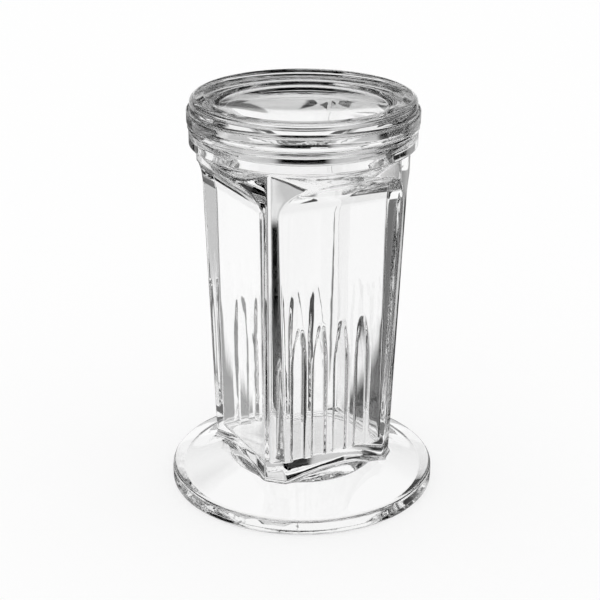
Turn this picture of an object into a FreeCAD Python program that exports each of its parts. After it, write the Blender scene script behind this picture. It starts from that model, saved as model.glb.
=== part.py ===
import FreeCAD, Part
import math
import os
import Sketcher

# Slide staining jar (Coplin jar): a pressed glass jar for five microscope slides, and its loose glass lid.
# Millimetres, +Z up, origin at the centre of the foot's underside. The ribbed walls face +Y and -Y.

SIZES = {
    # foot
    "foot_radius": 35.5,
    "foot_edge_height": 4.2,
    "foot_edge_round": 3.8,
    "foot_sole_round": 0.8,
    "foot_crown_height": 9.0,
    "sole_ring_radius": 31.0,
    "sole_roof_radius": 16.0,
    "sole_roof_height": 5.6,
    # body: a tapering round bar with four flats that sweep out under the collar
    "corner_radius_low": 23.8,
    "corner_radius_high": 27.4,
    "flat_half_low": 18.8,
    "flat_half_high": 20.6,
    "shoulder_drop": 18.4,
    "shoulder_round": 10.0,
    # neck, collar and rim; each drop is measured down from the rim
    "rim_height": 100.4,
    "neck_drop": 8.9,
    "collar_drop": 5.6,
    "collar_radius": 29.3,
    "collar_round": 0.5,
    "notch_drop": 1.2,
    "notch_radius": 28.9,
    "notch_half_width": 0.3,
    "lip_radius": 29.6,
    # inside: slots below, a wider chamber above, then a round mouth
    "floor_height": 12.5,
    "floor_chamfer": 0.8,
    "slot_half_length_low": 15.2,
    "slot_half_length_high": 15.5,
    "slot_half_width_low": 13.1,
    "slot_half_width_high": 13.2,
    "slot_corner": 2.0,
    "slot_top_height": 43.5,
    "chamber_height": 53.0,
    "chamber_half_length_low": 15.9,
    "chamber_half_length_high": 16.2,
    "chamber_half_width_low": 13.3,
    "chamber_half_width_high": 13.4,
    "chamber_corner": 1.0,
    "flare_drop": 17.4,
    "mouth_drop": 7.4,
    "mouth_radius": 23.5,
    "mouth_draft": 0.4,
    # ribs between the slots
    "rib_count": 4,
    "rib_pitch": 6.2,
    "rib_width": 3.95,
    "rib_face_half": 11.9,
    "rib_top_height": 50.0,
    # lid; each rise is measured up from the rim
    "lid_rise": 6.7,
    "lid_band_radius": 29.0,
    "lid_edge_round": 2.0,
    "bead_rise": 3.5,
    "bead_radius": 29.8,
    "bead_round": 0.6,
    "dish_radius": 25.3,
    "dish_depth": 1.6,
    "dish_floor_radius": 4.0,
    "plug_gap": 0.5,
    "plug_depth": 5.0,
    "plug_round": 1.0,
}
# Sections between the chamber and the mouth, as shares of the flare's height and of its spread.
FLARE_SECTIONS = ((0.4, 0.12), (0.75, 0.46))

doc = FreeCAD.newDocument("coplin_jar")
sizes = doc.addObject("Spreadsheet::Sheet", "sizes")
for row, (name, value) in enumerate(SIZES.items(), start=1):
    sizes.set(f"A{row}", name)
    sizes.set(f"B{row}", str(value))
    sizes.setAlias(f"B{row}", name)
doc.recompute()


def bound(expression):
    """An expression in which every size name points at the sheet."""
    for name in sorted(SIZES, key=len, reverse=True):
        expression = expression.replace(f"<{name}>", f"sizes.{name}")
    return expression


def number(expression):
    value = sizes.evalExpression(bound(expression))
    return float(getattr(value, "Value", value))


def origin_feature(body, role):
    return next(f for f in body.Origin.OriginFeatures if f.Role == role)


def new_sketch(body, name, plane, offset=None):
    """A sketch on one of the body's own origin planes, lifted by the offset expression."""
    sketch = body.newObject("Sketcher::SketchObject", name)
    sketch.AttachmentSupport = [(origin_feature(body, plane), "")]
    sketch.MapMode = "FlatFace"
    if offset:
        sketch.setExpression("AttachmentOffset.Base.z", bound(offset))
    doc.recompute()
    return sketch


def pin(sketch, side, end, x, y):
    """Holds one end of a side at the point given by two expressions."""
    for axis, kind, expression in ((-2, "DistanceX", x), (-1, "DistanceY", y)):
        value = number(expression)
        if abs(value) < 1e-9:
            sketch.addConstraint(Sketcher.Constraint("PointOnObject", side, end, axis))
        else:
            index = sketch.addConstraint(Sketcher.Constraint(kind, -1, 1, side, end, value))
            sketch.setExpression(f"Constraints[{index}]", bound(expression))


def outline(sketch, corners, arcs=None):
    """Draws a closed outline through the corners, each a pair of expressions.

    arcs maps the number of a side to its radius expression and turn: +1 anticlockwise, -1 clockwise.
    """
    arcs = arcs or {}
    points = [FreeCAD.Vector(number(x), number(y), 0) for x, y in corners]
    starts, ends = [], []
    for i, start in enumerate(points):
        end = points[(i + 1) % len(points)]
        if i in arcs:
            radius, turn = number(arcs[i][0]), arcs[i][1]
            chord = end - start
            height = math.sqrt(max(radius**2 - chord.Length**2 / 4, 0))
            across = FreeCAD.Vector(-chord.y, chord.x, 0).normalize() * (turn * height)
            centre = (start + end) / 2 + across
            first, last = (start, end) if turn > 0 else (end, start)
            angles = [math.atan2(p.y - centre.y, p.x - centre.x) for p in (first, last)]
            circle = Part.Circle(centre, FreeCAD.Vector(0, 0, 1), radius)
            side = sketch.addGeometry(Part.ArcOfCircle(circle, *angles))
            index = sketch.addConstraint(Sketcher.Constraint("Radius", side, radius))
            sketch.setExpression(f"Constraints[{index}]", bound(arcs[i][0]))
            starts.append((side, 1 if turn > 0 else 2))
            ends.append((side, 2 if turn > 0 else 1))
        else:
            side = sketch.addGeometry(Part.LineSegment(start, end))
            starts.append((side, 1))
            ends.append((side, 2))
    for i, (x, y) in enumerate(corners):
        sketch.addConstraint(Sketcher.Constraint("Coincident", *ends[i - 1], *starts[i]))
        pin(sketch, *starts[i], x, y)
    doc.recompute()
    return sketch


def revolve(body, name, corners, arcs=None):
    profile = outline(new_sketch(body, f"{name}_profile", "XZ_Plane"), corners, arcs)
    feature = body.newObject("PartDesign::Revolution", name)
    feature.Profile = profile
    feature.ReferenceAxis = (profile, ["V_Axis"])
    feature.Angle = 360
    doc.recompute()
    return feature


def rounded_oblong(body, name, length, width, corner, offset):
    """An oblong with round corners, given by half its length and width, on a plane at a height."""
    sketch = new_sketch(body, name, "XY_Plane", offset)
    near, far = f"({length} - {corner})", f"({width} - {corner})"
    corners = [
        (length, f"-{far}"), (length, far), (near, width), (f"-{near}", width),
        (f"-({length})", far), (f"-({length})", f"-{far}"),
        (f"-{near}", f"-({width})"), (near, f"-({width})"),
    ]
    return outline(sketch, corners, {side: (corner, 1) for side in (1, 3, 5, 7)})


def eight_arc_ring(body, name, radius, offset):
    """A circle cut into eight arcs, so that it lofts side by side with a rounded oblong."""
    sketch = new_sketch(body, name, "XY_Plane", offset)
    near, far = f"({radius} * sin(2 deg))", f"({radius} * cos(2 deg))"
    corners = [
        (far, f"-{near}"), (far, near), (near, far), (f"-{near}", far),
        (f"-{far}", near), (f"-{far}", f"-{near}"), (f"-{near}", f"-{far}"), (near, f"-{far}"),
    ]
    return outline(sketch, corners, {side: (radius, 1) for side in range(8)})


def loft(body, name, sections, ruled):
    feature = body.newObject("PartDesign::AdditiveLoft", name)
    feature.Profile = sections[0]
    feature.Sections = sections[1:]
    feature.Ruled = ruled
    doc.recompute()
    return feature


def ring_edges(feature, radius, height):
    """Names of the feature's round edges with this radius at this height."""
    names = []
    for i, edge in enumerate(feature.Shape.Edges, start=1):
        if isinstance(edge.Curve, Part.Circle) and abs(edge.Curve.Radius - number(radius)) < 1e-3:
            if abs(edge.Curve.Center.z - number(height)) < 1e-3:
                names.append(f"Edge{i}")
    return names


def fillet(body, name, base, edges, radius):
    feature = body.newObject("PartDesign::Fillet", name)
    feature.Base = (base, edges)
    feature.setExpression("Radius", bound(radius))
    doc.recompute()
    return feature


def cut(body, name, profile, reversed_cut=False, both_ways=None):
    """Cuts a profile right through the body: one way, or half the length given each way."""
    feature = body.newObject("PartDesign::Pocket", name)
    feature.Profile = profile
    if both_ways:
        feature.SideType = "Symmetric"
        feature.setExpression("Length", bound(both_ways))
    else:
        feature.Type = "ThroughAll"
        feature.Reversed = reversed_cut
    doc.recompute()
    return feature


def round_flats(body, name, corners, arcs, reach):
    """Cuts a profile from the +X side of a round bar, then repeats it on all four sides."""
    profile = outline(new_sketch(body, f"{name}_profile", "XZ_Plane"), corners, arcs)
    side = cut(body, f"{name}_side", profile, both_ways=reach)
    pattern = body.newObject("PartDesign::PolarPattern", name)
    pattern.Originals = [side]
    pattern.Axis = (origin_feature(body, "Z_Axis"), [""])
    pattern.Angle = 360
    pattern.Occurrences = 4
    body.Tip = pattern
    doc.recompute()
    return pattern


# The outside of the jar.
outside = doc.addObject("PartDesign::Body", "outside")
crown_slope = "((<foot_crown_height> - <foot_edge_height>) / (<foot_radius> - <corner_radius_low>))"
crown_inner = "(<flat_half_low> - 1)"
crown_top = f"(<foot_crown_height> + (<corner_radius_low> - {crown_inner}) * {crown_slope})"
bar = revolve(outside, "bar", [
    ("0", "<foot_crown_height> - 1"),
    ("<corner_radius_low>", "<foot_crown_height> - 1"),
    ("<corner_radius_low>", "<foot_crown_height>"),
    ("<corner_radius_high>", "(<rim_height> - <neck_drop>)"),
    ("<corner_radius_high>", "(<rim_height> - <collar_drop>)"),
    ("<collar_radius>", "(<rim_height> - <collar_drop>)"),
    ("<collar_radius>", "(<rim_height> - <notch_drop>) - <notch_half_width>"),
    ("<notch_radius>", "(<rim_height> - <notch_drop>)"),
    ("<lip_radius>", "(<rim_height> - <notch_drop>) + <notch_half_width>"),
    ("<lip_radius>", "<rim_height>"),
    ("0", "<rim_height>"),
])
shoulder_fall = "(<shoulder_round> - (<corner_radius_high> - <flat_half_high>))"
shoulder_rise = f"sqrt(<shoulder_round> ^ 2 - {shoulder_fall} ^ 2)"
round_flats(outside, "flats", [
    ("<flat_half_low>", "<foot_crown_height>"),
    ("<collar_radius> + 5", "<foot_crown_height>"),
    ("<collar_radius> + 5", f"(<rim_height> - <shoulder_drop>) + {shoulder_rise}"),
    ("<corner_radius_high>", f"(<rim_height> - <shoulder_drop>) + {shoulder_rise}"),
    ("<flat_half_high>", "(<rim_height> - <shoulder_drop>)"),
], {3: ("<shoulder_round>", 1)}, "4 * <collar_radius>")
foot = revolve(outside, "foot", [
    ("0", "<sole_roof_height>"),
    ("<sole_roof_radius>", "<sole_roof_height>"),
    ("<sole_ring_radius>", "0"),
    ("<foot_radius>", "0"),
    ("<foot_radius>", "<foot_edge_height>"),
    (crown_inner, crown_top),
    ("0", crown_top),
])
foot = fillet(outside, "foot_edge", foot, ring_edges(foot, "<foot_radius>", "<foot_edge_height>"),
              "<foot_edge_round>")
foot = fillet(outside, "foot_sole", foot, ring_edges(foot, "<foot_radius>", "0"), "<foot_sole_round>")
fillet(outside, "collar_edge", foot, ring_edges(foot, "<collar_radius>", "(<rim_height> - <collar_drop>)"),
       "<collar_round>")

# The shape that presses the inside of the jar.
plunger = doc.addObject("PartDesign::Body", "plunger")
slot_low = ("<slot_half_length_low>", "<slot_half_width_low>", "<slot_corner>")
slot_high = ("<slot_half_length_high>", "<slot_half_width_high>", "<slot_corner>")
chamber_low = ("<chamber_half_length_low>", "<chamber_half_width_low>", "<chamber_corner>")
chamber_high = ("<chamber_half_length_high>", "<chamber_half_width_high>", "<chamber_corner>")
floor = (*(f"({half} - <floor_chamfer>)" for half in slot_low[:2]), "<slot_corner>")
sections = [
    rounded_oblong(plunger, f"section_{i}", *section)
    for i, section in enumerate([
        (*floor, "<floor_height>"),
        (*slot_low, "<floor_height> + <floor_chamfer>"),
        (*slot_high, "<slot_top_height>"),
        (*chamber_low, "<chamber_height>"),
        (*chamber_high, "(<rim_height> - <flare_drop>)"),
    ])
]
loft(plunger, "post", sections, ruled=True)
flare = [
    rounded_oblong(
        plunger, f"flare_{i}",
        *(f"({size} + {spread} * (<mouth_radius> - {size}))" for size in chamber_high),
        f"<rim_height> - <flare_drop> + {rise} * (<flare_drop> - <mouth_drop>)",
    )
    for i, (rise, spread) in enumerate(((0, 0), *FLARE_SECTIONS))
]
flare.append(eight_arc_ring(plunger, "flare_top", "<mouth_radius>", "(<rim_height> - <mouth_drop>)"))
loft(plunger, "flare", flare, ruled=False)
revolve(plunger, "mouth", [
    ("0", "(<rim_height> - <mouth_drop>)"),
    ("<mouth_radius>", "(<rim_height> - <mouth_drop>)"),
    ("<mouth_radius> + <mouth_draft>", "<rim_height>"),
    ("<mouth_radius> + <mouth_draft>", "<rim_height> + 2"),
    ("0", "<rim_height> + 2"),
])
for side, sign in (("front", 1), ("back", -1)):
    first = "(-(<rib_count> - 1) / 2 * <rib_pitch>)"
    left, right = f"({first} - <rib_width> / 2)", f"({first} + <rib_width> / 2)"
    straight_top = "(<rib_top_height> - <rib_width> / 2)"
    profile = new_sketch(plunger, f"rib_{side}_profile", "XZ_Plane", f"{sign} * <rib_face_half>")
    outline(profile, [
        (left, "<floor_height> - 2"),
        (right, "<floor_height> - 2"),
        (right, straight_top),
        (left, straight_top),
    ], {2: ("<rib_width> / 2", 1)})
    rib = cut(plunger, f"rib_{side}", profile, reversed_cut=sign > 0)
    ribs = plunger.newObject("PartDesign::LinearPattern", f"ribs_{side}")
    ribs.Originals = [rib]
    ribs.Direction = (profile, ["H_Axis"])
    ribs.setExpression("Length", bound("(<rib_count> - 1) * <rib_pitch>"))
    ribs.setExpression("Occurrences", bound("<rib_count>"))
    plunger.Tip = ribs
    doc.recompute()

jar = doc.addObject("Part::Cut", "jar_glass")
jar.Label = "jar"
jar.Base = outside
jar.Tool = plunger

# The lid: a bead and a band outside, a shallow bowl on top and a plug that drops into the mouth.
lid = doc.addObject("PartDesign::Body", "lid_body")
lid.Label = "lid"
plug_bottom = "(<rim_height> - <plug_depth>)"
plug_radius = "(<mouth_radius> - <plug_gap>)"
dish_sweep = "(((<dish_radius> - <dish_floor_radius>) ^ 2 + <dish_depth> ^ 2) / (2 * <dish_depth>))"
turned = revolve(lid, "lid_turned", [
    ("0", plug_bottom),
    (plug_radius, plug_bottom),
    (plug_radius, "<rim_height>"),
    ("<bead_radius>", "<rim_height>"),
    ("<bead_radius>", "(<rim_height> + <bead_rise>)"),
    ("<lid_band_radius>", "(<rim_height> + <bead_rise>)"),
    ("<lid_band_radius>", "(<rim_height> + <lid_rise>)"),
    ("<dish_radius>", "(<rim_height> + <lid_rise>)"),
    ("<dish_floor_radius>", "(<rim_height> + <lid_rise>) - <dish_depth>"),
    ("0", "(<rim_height> + <lid_rise>) - <dish_depth>"),
], {7: (dish_sweep, -1)})
for name, radius, height, size in (
    ("plug_edge", plug_radius, plug_bottom, "<plug_round>"),
    ("bead_low_edge", "<bead_radius>", "<rim_height>", "<bead_round>"),
    ("bead_high_edge", "<bead_radius>", "(<rim_height> + <bead_rise>)", "<bead_round>"),
    ("lid_edge", "<lid_band_radius>", "(<rim_height> + <lid_rise>)", "<lid_edge_round>"),
):
    turned = fillet(lid, name, turned, ring_edges(turned, radius, height), size)
doc.recompute()

for item in doc.Objects:
    if "Invalid" in item.State or "Error" in item.State:
        raise RuntimeError(f"{item.Name} is in state {item.State}")

os.makedirs("parts", exist_ok=True)
for node in (jar, lid):
    if node.Shape.isNull() or not node.Shape.isValid() or len(node.Shape.Solids) != 1:
        raise RuntimeError(f"{node.Label} is not one good solid")
    node.Shape.exportStep(f"parts/{node.Label}.step")
    print(node.Label, round(node.Shape.Volume), "cubic mm", node.Shape.BoundBox)
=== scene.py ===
import math

import bpy
import numpy as np
from mathutils import Matrix


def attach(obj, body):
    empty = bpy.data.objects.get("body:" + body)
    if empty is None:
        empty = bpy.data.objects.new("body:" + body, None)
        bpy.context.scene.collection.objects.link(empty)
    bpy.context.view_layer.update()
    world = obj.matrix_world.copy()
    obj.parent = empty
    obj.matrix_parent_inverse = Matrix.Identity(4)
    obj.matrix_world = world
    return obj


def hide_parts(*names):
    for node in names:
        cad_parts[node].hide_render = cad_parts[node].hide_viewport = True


# Glass slide staining jar and its lid, both clear pressed glass. Each piece is one closed skin over a
# stack of rings, and every ring of a piece has the same number of points. Z is up, and the ribbed walls
# face +Y and -Y. The tables are in millimetres. A value is a radius or half width, or the radius of a
# rounded edge where its name ends in _round, or a height where it ends in _z.

MM = 0.001
TURN = 2 * math.pi

# Points on each ring of the jar and of the lid.
AROUND = 360
LID_AROUND = 2 * AROUND

# The foot: its outer edge, its crown up to the body, and the hollow under it inside the ring it stands on.
FOOT = {"radius": 35.5, "edge_z": 4.6, "edge_round": 1.4, "sole_round": 0.8, "crown_z": 9.0,
        "ring": 31.0, "ring_round": 1.0, "roof": 19.0, "roof_z": 4.6, "roof_round": 2.0,
        "neck_round": 1.2}

# The body: corner strips on a large curve between four flats, which sweep out into the round neck from
# the shoulder up. Pairs are the values at the bottom and at the top.
BODY = {"bottom_z": 9.0, "shoulder_z": 82.0, "top_z": 91.5, "corner": (23.8, 27.4), "flat": (18.8, 20.6),
        "strip_curve": 100.0, "shoulder_round": 10.0, "edge_round": 0.35}

# The neck, the collar with its groove, the lip, and the rim's flat top. The rings of the outside end at
# the join on that top, and the rings of the inside begin there.
RIM = {"neck_z": 94.1, "neck_round": 0.4, "collar": 29.3, "collar_z": 94.8, "collar_round": 0.5,
       "groove": 28.9, "groove_z": 99.2, "groove_half": 0.3, "groove_rounds": (0.3, 0.15, 0.25),
       "lip": 29.6, "lip_round": 0.2, "top_z": 100.36, "join": 26.5, "inner_round": 0.35}

# The cavity: slots for the slides, a chamber above them, and a flare up to the round mouth. Each _x or _y
# pair is at the bottom and at the top of its zone, and each _corner pair is how far the rounding of a
# corner reaches along X and along Y. The flare starts as a circle just inside the walls, and its curve is
# the power that bends its profile. The draft is how much the mouth widens up to the rim.
INSIDE = {"floor_z": 12.5, "floor_round": 0.8, "slot_top_z": 44.5, "slot_x": (15.7, 15.9),
          "slot_y": (13.0, 13.1), "slot_corner": (1.5, 0.8), "chamber_z": 50.5,
          "chamber_x": (15.9, 15.95), "chamber_y": (13.2, 13.3), "chamber_corner": (1.0, 1.0),
          "flare_z": 83.0, "flare_start": 12.5, "flare_curve": 0.8, "flare_round": 0.6,
          "mouth_z": 93.0, "mouth": 23.5, "draft": 0.4}

# The ribs on each half of a long wall: where they stand, their full width, the distance from the axis
# to their faces, the length of the nose at the top, the share of the width at its tip, and how far the
# sides slope to each side of their edge.
RIBS = {"centres": (3.1, 9.3), "width": 3.7, "face": 11.5, "top_z": 51.0, "nose": 14.0,
        "tip_share": 0.3, "side": 0.3}

# The lid: side band, finger bead, dish in the top and plug below.
LID = {"top_z": 107.1, "band": 29.0, "band_z": 103.9, "band_round": 0.15, "edge_round": 2.0,
       "bead": 29.8, "bead_round": 0.6, "seat_z": 100.44, "seat_round": 0.2, "dish": 25.3,
       "dish_depth": 1.6, "dish_round": 1.2, "plug": 23.0, "plug_depth": 5.0, "plug_round": 1.0}

# Heights of the rings, closer together where the form bends.
BODY_START = 16
BODY_LEVELS = [*np.linspace(20, 79, 9), *np.linspace(80, 94, 34)]
CAVITY_LEVELS = [*np.linspace(99.5, 93.7, 4), *np.linspace(93, 83, 26), *np.linspace(82, 58, 8),
                 *np.linspace(57, 36, 43), *np.linspace(35, 14.2, 12)]


def smin(a, b, k):
    """The smaller of two arrays, with the crease between them rounded over."""
    h = np.clip(0.5 + 0.5 * (b - a) / k, 0, 1)
    return b * (1 - h) + a * h - k * h * (1 - h)


def smooth(x):
    """0 below 0, 1 above 1, and a soft step between them."""
    x = np.clip(x, 0, 1)
    return x * x * (3 - 2 * x)


def between(pair, share):
    """The value part of the way from the first of a pair to the second."""
    return pair[0] + (pair[1] - pair[0]) * share


def rounded_path(points, steps):
    """A polyline of (radius, height, round) corners with each corner turned into an arc of some steps."""
    path = []
    for i, (x, z, size) in enumerate(points):
        here = np.array((x, z), float)
        if size <= 0 or i in (0, len(points) - 1):
            path.append(here)
            continue
        back = np.array(points[i - 1][:2], float) - here
        on = np.array(points[i + 1][:2], float) - here
        back_len, on_len = np.linalg.norm(back), np.linalg.norm(on)
        back, on = back / back_len, on / on_len
        half = math.acos(np.clip(back @ on, -1, 1)) / 2
        reach = min(size / math.tan(half), 0.49 * back_len, 0.49 * on_len)
        radius = reach * math.tan(half)
        middle = here + (back + on) / np.linalg.norm(back + on) * (radius / math.sin(half))
        first, last = here + back * reach - middle, here + on * reach - middle
        swing = math.acos(np.clip(first @ last / radius**2, -1, 1))
        for s in np.linspace(0, 1, steps + 1):
            weight = (math.sin((1 - s) * swing) * first + math.sin(s * swing) * last) / math.sin(swing)
            path.append(middle + weight)
    return np.array(path)


def fill_path(path, longest):
    """Adds points so that no step along the path is longer than the given length."""
    out = [path[0]]
    for a, b in zip(path, path[1:]):
        count = max(1, math.ceil(np.linalg.norm(b - a) / longest))
        out += [a + (b - a) * s / count for s in range(1, count + 1)]
    return np.array(out)


def skin(name, rings, start_pole, end_pole):
    """A closed mesh through a stack of rings, each an array of points, capped by a pole at both ends."""
    count = len(rings[0])
    points = np.concatenate([*rings, [start_pole], [end_pole]]) * MM
    faces = []
    for level in range(len(rings) - 1):
        low, high = level * count, (level + 1) * count
        faces += [(low + i, low + (i + 1) % count, high + (i + 1) % count, high + i) for i in range(count)]
    first, last, top = len(points) - 2, len(points) - 1, (len(rings) - 1) * count
    faces += [(first, (i + 1) % count, i) for i in range(count)]
    faces += [(last, top + i, top + (i + 1) % count) for i in range(count)]
    mesh = bpy.data.meshes.new(name)
    mesh.from_pydata(points.tolist(), [], faces)
    mesh.shade_smooth()
    mesh.update()
    piece = bpy.data.objects.new(name, mesh)
    bpy.context.scene.collection.objects.link(piece)
    return piece


def turned_ring(radius, height, count=AROUND):
    """A ring about the axis, whose radius and height are numbers or arrays with a value for each point."""
    angle = np.arange(count) / count * TURN
    radius = np.broadcast_to(radius, angle.shape)
    height = np.broadcast_to(height, angle.shape)
    return np.stack((radius * np.cos(angle), radius * np.sin(angle), height), axis=1)


# ---------------------------------------------------------------- outside of the jar

def body_radius(z):
    """Distance of the body's outside from the axis, for each angle around it.

    Each corner strip is an arc about a point beyond the axis, and each flat cuts it off. The flats sweep
    out on a quarter circle, which stops just before it is level.
    """
    b = BODY
    angle = np.arange(AROUND) / AROUND * TURN
    z = np.broadcast_to(z, angle.shape).astype(float)
    corner = between(b["corner"], np.minimum((z - b["bottom_z"]) / (b["top_z"] - b["bottom_z"]), 1))
    flat = between(b["flat"], np.minimum((z - b["bottom_z"]) / (b["shoulder_z"] - b["bottom_z"]), 1))
    sweep = np.clip(z - b["shoulder_z"], 0, b["shoulder_round"] * 0.999)
    flat = flat + b["shoulder_round"] - np.sqrt(b["shoulder_round"] ** 2 - sweep**2)
    from_corner = np.abs((angle + TURN / 8) % (TURN / 4) - TURN / 8) - TURN / 8
    centre = corner - b["strip_curve"]
    strip = np.sqrt(b["strip_curve"] ** 2 - (centre * np.sin(from_corner)) ** 2)
    strip = centre * np.cos(from_corner) + strip
    radius = between((strip, corner), smooth((z - b["shoulder_z"]) / (b["top_z"] - b["shoulder_z"])))
    for side in range(2):
        facing = np.maximum(np.abs(np.cos(angle - side * TURN / 4)), 0.2)  # never near 0
        radius = smin(radius, flat / facing, b["edge_round"])
    return radius


def crown_slope():
    """Rise of the foot's crown for each millimetre towards the axis."""
    return (FOOT["crown_z"] - FOOT["edge_z"]) / (FOOT["radius"] - BODY["corner"][0])


def sole_rings():
    """The hollow under the foot, the ring it stands on, its edge and the start of its crown."""
    f = FOOT
    join = BODY["corner"][0] + 4  # a little outside the body
    path = rounded_path([
        (0, f["roof_z"], 0),
        (f["roof"], f["roof_z"], f["roof_round"]),
        (f["ring"], 0, f["ring_round"]),
        (f["radius"], 0, f["sole_round"]),
        (f["radius"], f["edge_z"], f["edge_round"]),
        (join, f["edge_z"] + (f["radius"] - join) * crown_slope(), 0),
    ], steps=10)
    path = fill_path(path, longest=2.0)[1:]
    return [turned_ring(x, z) for x, z in path], path[-1]


def crown_rings(edge):
    """From the edge of the crown to the body, with a small round where they meet.

    The crown meets the body lower where the body reaches further out, so their meeting is found in steps.
    """
    slope, size = crown_slope(), FOOT["neck_round"]
    meet = body_radius(FOOT["crown_z"])
    for _ in range(4):
        height = FOOT["crown_z"] + (BODY["corner"][0] - meet) * slope
        meet = body_radius(height)
    start, start_z = meet + size, height - size * slope
    end, end_z = body_radius(height + size), height + size
    rings = []
    for s in np.linspace(0, 1, 7)[1:-1]:
        rings.append(turned_ring(between((edge[0], start), s), between((edge[1], start_z), s)))
    for s in np.linspace(0, 1, 8):
        weights = (1 - s) ** 2, 2 * s * (1 - s), s**2
        radius = weights[0] * start + weights[1] * meet + weights[2] * end
        rings.append(turned_ring(radius, weights[0] * start_z + weights[1] * height + weights[2] * end_z))
    for s in np.linspace(0, 1, 5)[1:]:
        z = between((end_z, BODY_START), s)
        rings.append(turned_ring(body_radius(z), z))
    return rings


def collar_rings():
    """The underside of the collar, its groove and lip, and the rim's flat top."""
    r, neck = RIM, BODY["corner"][1]
    below, deepest, above = r["groove_rounds"]
    path = rounded_path([
        (neck, r["neck_z"], 0),
        (neck, r["collar_z"], r["neck_round"]),
        (r["collar"], r["collar_z"], r["collar_round"]),
        (r["collar"], r["groove_z"] - r["groove_half"], below),
        (r["groove"], r["groove_z"], deepest),
        (r["lip"], r["groove_z"] + r["groove_half"], above),
        (r["lip"], r["top_z"], r["lip_round"]),
        (r["join"], r["top_z"], 0),
    ], steps=5)
    return [turned_ring(x, z) for x, z in fill_path(path, longest=1.0)[1:]]


def outside_rings():
    """From the hollow under the foot to the rim."""
    sole, edge = sole_rings()
    body = [turned_ring(body_radius(z), z) for z in BODY_LEVELS]
    return sole + crown_rings(edge) + body + collar_rings()


# ---------------------------------------------------------------- inside of the jar

# Points on half a plain wall, on a corner and on half a ribbed wall: a quarter of a ring.
HALF_PLAIN, CORNER, HALF_RIBBED = 10, 16, 64


def rib_positions():
    """Places across half a ribbed wall, from 0 to 1, closer together at the sides of the ribs.

    At a side they are 1 + extra times as close, and that fades over the near distance.
    """
    reach, near, extra = INSIDE["slot_x"][0], 0.45, 6
    x = np.linspace(0, reach, 2000)
    sides = [c + s * RIBS["width"] / 2 for c in RIBS["centres"] for s in (-1, 1)]
    crowd = 1 + extra * sum(np.exp(-(((x - side) / near) ** 2)) for side in sides)
    total = np.concatenate(([0], np.cumsum((crowd[1:] + crowd[:-1]) / 2)))
    return np.interp((np.arange(HALF_RIBBED) + 0.5) / HALF_RIBBED * total[-1], total, x) / reach


def quarter(half, corner):
    """A quarter of a rounded rectangle, from the middle of the plain wall to that of the ribbed wall."""
    (half_x, half_y), (corner_x, corner_y) = half, corner
    plain = (np.arange(HALF_PLAIN) + 0.5) / HALF_PLAIN
    angle = (np.arange(CORNER) + 0.5) / CORNER * TURN / 4
    ribbed = rib_positions()[::-1]
    x = np.concatenate((np.full(HALF_PLAIN, half_x), half_x - corner_x + corner_x * np.cos(angle),
                        ribbed * (half_x - corner_x)))
    y = np.concatenate((plain * (half_y - corner_y), half_y - corner_y + corner_y * np.sin(angle),
                        np.full(HALF_RIBBED, half_y)))
    return x, y


def all_quarters(x, y):
    """The quarter repeated by mirroring, as one ring running anticlockwise from the +X side."""
    xs = np.concatenate((x, -x[::-1], -x, x[::-1]))
    ys = np.concatenate((y, y[::-1], -y, -y[::-1]))
    return xs, ys


def rib_height(x, z):
    """How much of the full rib stands at each point across the wall: 0 in a slot, 1 on a rib.

    The ribs' noses are narrow and low at the top, and widen and rise as they run down.
    """
    r = RIBS
    rise = 1 - (1 - min(max((r["top_z"] - z) / r["nose"], 0), 1)) ** 2
    width = r["width"] * (r["tip_share"] + (1 - r["tip_share"]) * rise)
    amount = np.zeros_like(x)
    for centre in r["centres"]:
        distance = np.abs(np.abs(x) - centre) - width / 2
        amount = np.maximum(amount, smooth(0.5 - distance / (2 * r["side"])))
    return amount * rise


def chamber_size(z):
    """Half widths and corner reaches of the cavity at a height, each along X and along Y."""
    i = INSIDE
    low = (z - i["floor_z"]) / (i["slot_top_z"] - i["floor_z"])
    high = (z - i["chamber_z"]) / (i["flare_z"] - i["chamber_z"])
    blend = float(smooth((z - i["slot_top_z"]) / (i["chamber_z"] - i["slot_top_z"])))
    half = [between((between(i[f"slot_{a}"], low), between(i[f"chamber_{a}"], high)), blend) for a in "xy"]
    corner = [between(pair, blend) for pair in zip(i["slot_corner"], i["chamber_corner"])]
    return half, corner


def walled_ring(z):
    """The cavity between its four walls, with the ribs standing on the two long ones."""
    half, corner = chamber_size(z)
    x, y = all_quarters(*quarter(half, corner))
    ribbed = np.abs(y) >= half[1] - 1e-6
    amount = rib_height(x, z) * ribbed
    y = np.sign(y) * (np.abs(y) - amount * (half[1] - RIBS["face"]))
    return np.stack((x, y, np.full(len(x), z)), axis=1)


def flared_ring(z):
    """The cavity where it flares, from the rectangle of the chamber out to the round mouth."""
    i = INSIDE
    x, y = quarter(*chamber_size(i["flare_z"]))
    angle = np.arctan2(y, x)
    rise = min((z - i["flare_z"]) / (i["mouth_z"] - i["flare_z"]), 1)
    turned = between((i["flare_start"], i["mouth"]), (1 - math.sqrt(1 - rise**2)) ** i["flare_curve"])
    radius = -smin(-np.hypot(x, y), -turned, i["flare_round"])
    radius = radius + max(0, z - i["mouth_z"]) / (RIM["top_z"] - i["mouth_z"]) * i["draft"]
    x, y = all_quarters(radius * np.cos(angle), radius * np.sin(angle))
    return np.stack((x, y, np.full(len(x), z)), axis=1)


def cavity_ring(z):
    """The cavity's outline at any height."""
    return walled_ring(z) if z <= INSIDE["flare_z"] else flared_ring(z)


def moved(ring, scale, drop):
    """A copy of a ring, scaled about the axis and lowered."""
    copy = ring * (scale, scale, 1)
    copy[:, 2] -= drop
    return copy


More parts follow.
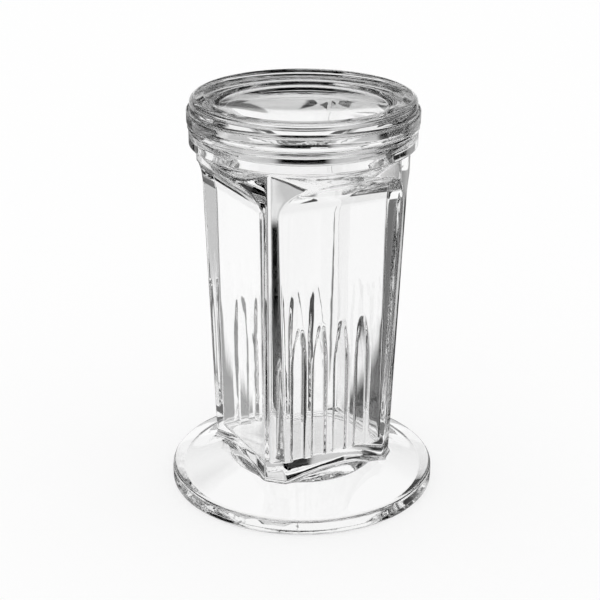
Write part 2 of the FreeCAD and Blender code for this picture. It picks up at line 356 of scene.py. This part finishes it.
def inside_rings():
    """From the rim's inner edge down to the floor, and in over the floor to its middle.

    The two rounded edges have their full size at a typical distance of their ring from the axis.
    """
    rim, rim_round, rim_away = cavity_ring(RIM["top_z"]), RIM["inner_round"], 24
    floor_round, floor_away = INSIDE["floor_round"], 13.3
    floor = cavity_ring(INSIDE["floor_z"] + floor_round)
    turns = np.linspace(0, TURN / 4, 5)
    rings = [moved(rim, 1 + rim_round * (1 - math.sin(a)) / rim_away, rim_round * (1 - math.cos(a)))
             for a in turns]
    rings += [cavity_ring(z) for z in CAVITY_LEVELS]
    rings += [moved(floor, 1 - floor_round * (1 - math.cos(a)) / floor_away, floor_round * math.sin(a))
              for a in turns]
    flat = np.array((12.2, 11.2, np.inf))  # the level part of the floor, clear of the ribs
    middle = np.clip(rings[-1], -flat, flat)
    rings += [moved(middle, scale, 0) for scale in (1, 0.75, 0.5, 0.25, 0.08)]
    return rings


def make_jar():
    """The jar, from the hollow under its foot up the outside and down the inside to its floor."""
    rings = outside_rings() + inside_rings()
    return skin("jar_glass", rings, (0, 0, FOOT["roof_z"]), (0, 0, INSIDE["floor_z"]))


def make_lid():
    """The lid, turned from the middle of its underside out and over to the middle of its dish."""
    d = LID
    plug_z = d["seat_z"] - d["plug_depth"]
    path = rounded_path([
        (0, plug_z, 0),
        (d["plug"], plug_z, d["plug_round"]),
        (d["plug"], d["seat_z"], d["seat_round"]),
        (d["bead"], d["seat_z"], d["bead_round"]),
        (d["bead"], d["band_z"], d["bead_round"]),
        (d["band"], d["band_z"], d["band_round"]),
        (d["band"], d["top_z"], d["edge_round"]),
        (d["dish"], d["top_z"], d["dish_round"]),
        *[(d["dish"] * s, d["top_z"] - d["dish_depth"] * (1 - s**2), 0) for s in np.linspace(0.95, 0, 20)],
    ], steps=8)
    path = fill_path(path, longest=1.2)
    rings = [turned_ring(x, z, LID_AROUND) for x, z in path[1:-1]]
    return skin("lid_glass", rings, (0, 0, plug_z), (0, 0, path[-1][1]))


# ---------------------------------------------------------------- materials

def wire(tree, value, socket):
    """Sets a socket to a number, or links it to another node's output."""
    if isinstance(value, (int, float)):
        socket.default_value = value
    else:
        tree.links.new(value, socket)


def calc(tree, operation, *values):
    """The output of a Math node, whose inputs are numbers or other nodes' outputs."""
    made = tree.nodes.new("ShaderNodeMath")
    made.operation = operation
    for value, socket in zip(values, made.inputs):
        wire(tree, value, socket)
    return made.outputs[0]


def fade(tree, value, span, before, after):
    """Goes smoothly from one value to the other while the first input crosses the span."""
    made = tree.nodes.new("ShaderNodeMapRange")
    made.interpolation_type = "SMOOTHSTEP"
    for socket, number in zip(made.inputs[:5], (value, *span, before, after)):
        wire(tree, number, socket)
    return made.outputs[0]


def ripples(tree, place, scale, stretch):
    """Waves as in the surface of pressed glass, drawn out along the height."""
    mapping = tree.nodes.new("ShaderNodeMapping")
    mapping.inputs["Scale"].default_value = (1, 1, stretch)
    tree.links.new(place, mapping.inputs["Vector"])
    noise = tree.nodes.new("ShaderNodeTexNoise")
    noise.inputs["Scale"].default_value = scale
    noise.inputs["Detail"].default_value = 1.5
    tree.links.new(mapping.outputs[0], noise.inputs["Vector"])
    return noise.outputs[0]


def glass_material(name):
    """Clear pressed glass, with broad and fine ripples a few hundredths of a millimetre high."""
    material = bpy.data.materials.new(name)
    material.use_nodes = True
    tree = material.node_tree
    shader = tree.nodes["Principled BSDF"]
    shader.inputs["Base Color"].default_value = (1, 1, 1, 1)
    shader.inputs["IOR"].default_value = 1.52
    shader.inputs["Roughness"].default_value = 0.0
    shader.inputs["Transmission Weight"].default_value = 1.0
    place = tree.nodes.new("ShaderNodeTexCoord").outputs["Object"]
    broad = ripples(tree, place, scale=110, stretch=0.3)
    fine = ripples(tree, place, scale=420, stretch=0.35)
    waves = calc(tree, "MULTIPLY_ADD", fine, 0.3, broad)
    bump = tree.nodes.new("ShaderNodeBump")
    bump.inputs["Strength"].default_value = 1.0
    bump.inputs["Distance"].default_value = 0.03 * MM
    tree.links.new(waves, bump.inputs["Height"])
    tree.links.new(bump.outputs[0], shader.inputs["Normal"])
    return material


# ---------------------------------------------------------------- scene

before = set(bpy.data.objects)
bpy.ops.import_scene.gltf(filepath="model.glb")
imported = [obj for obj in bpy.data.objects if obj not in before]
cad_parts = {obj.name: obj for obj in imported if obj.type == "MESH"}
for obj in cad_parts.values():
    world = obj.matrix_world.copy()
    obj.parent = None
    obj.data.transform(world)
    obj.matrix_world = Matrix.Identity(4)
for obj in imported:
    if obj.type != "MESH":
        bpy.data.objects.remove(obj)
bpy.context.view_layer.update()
jar = make_jar()
lid = make_lid()
for piece, node in ((jar, "jar"), (lid, "lid")):
    piece.data.materials.append(glass_material(f"{node}_glass"))
    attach(piece, "root")
    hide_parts(node)

scene = bpy.context.scene
scene.view_settings.view_transform = "Standard"

# Light crosses many glass surfaces between the lid, the walls and the floor.
cycles = scene.cycles
cycles.max_bounces = 48
cycles.transmission_bounces = 48
cycles.glossy_bounces = 24
cycles.transparent_max_bounces = 24
cycles.caustics_reflective = True
cycles.caustics_refractive = True

# ---------------------------------------------------------------- surroundings

# Clear glass on pure white shows only where it bends a view of something dark. So the floor and the
# world are white in wide fans and dark between them, and white everywhere for the camera's own rays.
# Each fan is (from, to, brightness), in degrees round the jar, clockwise seen from above and counted
# from LOOK, the direction straight behind the jar. The floor has near, middle and far fans round a white
# disc. The world starts with the far ones at the horizon, then come the high ones, the top ones and
# plain white overhead.
LOOK = 61.85
NEAR_FANS = [(-128, -108, 0.9), (-82, -45, 0.95), (-38, -15, 0.15), (-15, 15, 1.0), (100, 118, 0.95),
             (118, 135, 0.55)]
MIDDLE_FANS = [(-128, -108, 0.8), (-82, -45, 0.95), (-38, -15, 0.15), (-15, 15, 1.0), (15, 30, 0.6),
               (30, 60, 0.95), (100, 118, 0.95), (118, 135, 0.55)]
FAR_FANS = [(-140, -100, 1.0), (-45, 30, 1.0)]
HIGH_FANS = [(-30, -9, 0.6), (9, 30, 0.6), (30, 48, 0.9)]
TOP_FANS = [(-45, 60, 0.9)]

# Brightness of the disc, overhead, between the fans, and between the top ones.
UNDER_FOOT, OVERHEAD, DARK, DIM = 0.95, 1.0, 0.0, 0.1

# Where each gives way to the next: metres from the axis on the floor, and the sine of the angle above
# the horizon in the world.
DISC, NEAR_REACH, FAR_REACH = (0.0345, 0.037), (0.235, 0.255), (0.40, 0.44)
RISE = ((0.14, 0.18), (0.64, 0.70), (0.86, 0.90))

# How much of the floor is matt for the camera, which sets how strong the jar's shadow is.
SHADOW_SHARE = 0.3


def fans(tree, turn, zones, base, soft=1.5):
    """Brightness round the jar: the zones' own, and the base between them, with soft edges."""
    made = tree.nodes.new("ShaderNodeValToRGB")
    ramp = made.color_ramp
    tree.links.new(turn, made.inputs[0])
    stops = []
    for i, (low, high, value) in enumerate(zones):
        if i == 0 or zones[i - 1][1] != low:
            stops.append((low - soft, base))
        stops += [(low + soft, value), (high - soft, value)]
        if i == len(zones) - 1 or zones[i + 1][0] != high:
            stops.append((high + soft, base))
    while len(ramp.elements) < len(stops):
        ramp.elements.new(1.0)
    for element, (angle, value) in zip(ramp.elements, stops):
        element.position = angle / 360 + 0.5
        element.color = (value, value, value, 1)
    return made.outputs[0]


def turn_of(tree, vector):
    """Angle round the jar from -180 to 180 degrees as 0 to 1, and the vector's Z."""
    split = tree.nodes.new("ShaderNodeSeparateXYZ")
    tree.links.new(vector, split.inputs[0])
    angle = calc(tree, "ARCTAN2", split.outputs["Y"], split.outputs["X"])
    share = calc(tree, "MULTIPLY_ADD", angle, -1 / TURN, LOOK / 360 + 0.5)
    return calc(tree, "FRACT", share), split.outputs["Z"]


def make_floor():
    """The floor, just below the foot, glows with the fans.

    The camera sees it as white, with part of it matt for the shadow.
    """
    bpy.ops.mesh.primitive_plane_add(size=6, location=(0, 0, -0.1 * MM))
    floor = bpy.context.object
    floor.name = "floor"
    material = bpy.data.materials.new("floor")
    material.use_nodes = True
    tree = material.node_tree
    tree.nodes.clear()
    place = tree.nodes.new("ShaderNodeNewGeometry").outputs["Position"]
    turn, _ = turn_of(tree, place)
    length = tree.nodes.new("ShaderNodeVectorMath")
    length.operation = "LENGTH"
    tree.links.new(place, length.inputs[0])
    away = length.outputs["Value"]
    card = UNDER_FOOT
    for span, zones in zip((DISC, NEAR_REACH, FAR_REACH), (NEAR_FANS, MIDDLE_FANS, FAR_FANS)):
        card = fade(tree, away, span, card, fans(tree, turn, zones, DARK))
    seen = tree.nodes.new("ShaderNodeLightPath").outputs["Is Camera Ray"]
    glow = tree.nodes.new("ShaderNodeEmission")
    wire(tree, calc(tree, "MAXIMUM", card, seen), glow.inputs["Strength"])
    matt = tree.nodes.new("ShaderNodeBsdfDiffuse")
    matt.inputs["Color"].default_value = (1, 1, 1, 1)
    mix = tree.nodes.new("ShaderNodeMixShader")
    wire(tree, calc(tree, "MULTIPLY", seen, SHADOW_SHARE), mix.inputs[0])
    tree.links.new(glow.outputs[0], mix.inputs[1])
    tree.links.new(matt.outputs[0], mix.inputs[2])
    out = tree.nodes.new("ShaderNodeOutputMaterial")
    tree.links.new(mix.outputs[0], out.inputs["Surface"])
    floor.data.materials.append(material)


def make_world():
    """The world glows with its fans, and is white for the camera and for the matt part of the floor."""
    world = bpy.data.worlds.new("studio")
    scene.world = world
    world.use_nodes = True
    tree = world.node_tree
    turn, up = turn_of(tree, tree.nodes.new("ShaderNodeTexCoord").outputs["Generated"])
    light = fans(tree, turn, FAR_FANS, DARK)
    high, top = fans(tree, turn, HIGH_FANS, DARK), fans(tree, turn, TOP_FANS, DIM)
    for span, above in zip(RISE, (high, top, OVERHEAD)):
        light = fade(tree, up, span, light, above)
    path = tree.nodes.new("ShaderNodeLightPath")
    plain = calc(tree, "MAXIMUM", path.outputs["Is Camera Ray"], path.outputs["Is Diffuse Ray"])
    wire(tree, calc(tree, "MAXIMUM", light, plain), tree.nodes["Background"].inputs["Strength"])
    tree.nodes["Background"].inputs["Color"].default_value = (1, 1, 1, 1)


# ---------------------------------------------------------------- camera

# It looks at a point on the axis, AIM_Z up, from DISTANCE away and TILT above level, with the jar turned
# by TURNED under it. PITCH, YAW and ROLL then turn the camera slightly. FOCAL is in picture widths.
DISTANCE, TILT, FOCAL = 418.742, math.radians(21.83), 2.6276
ROLL, PITCH, YAW = math.radians(-0.282), math.radians(0.113), math.radians(-0.097)
AIM_Z, TURNED = 52.0, math.radians(28.149)


def camera_axes():
    """The camera's right, up and backward axes and its place, in the jar's frame."""
    right = np.array((1.0, 0, 0))
    ahead = np.array((0, math.cos(TILT + PITCH), -math.sin(TILT + PITCH)))
    up = np.cross(right, ahead)
    ahead, right = (math.cos(YAW) * ahead + math.sin(YAW) * right,
                    math.cos(YAW) * right - math.sin(YAW) * ahead)
    right, up = (math.cos(ROLL) * right - math.sin(ROLL) * up,
                 math.cos(ROLL) * up + math.sin(ROLL) * right)
    place = np.array((0, -DISTANCE * math.cos(TILT), AIM_Z + DISTANCE * math.sin(TILT))) * MM
    c, s = math.cos(-TURNED), math.sin(-TURNED)
    spin = np.array(((c, -s, 0), (s, c, 0), (0, 0, 1)))
    return [spin @ v for v in (right, up, -ahead, place)]


def make_camera():
    """The camera, placed by its axes."""
    data = bpy.data.cameras.new("camera")
    data.sensor_width = 36
    data.lens = FOCAL * data.sensor_width
    data.clip_start = 0.01
    camera = bpy.data.objects.new("camera", data)
    scene.collection.objects.link(camera)
    axes = camera_axes()
    camera.matrix_world = Matrix([[axes[c][r] for c in range(4)] for r in range(3)] + [[0, 0, 0, 1]])
    scene.camera = camera


make_floor()
make_world()
make_camera()
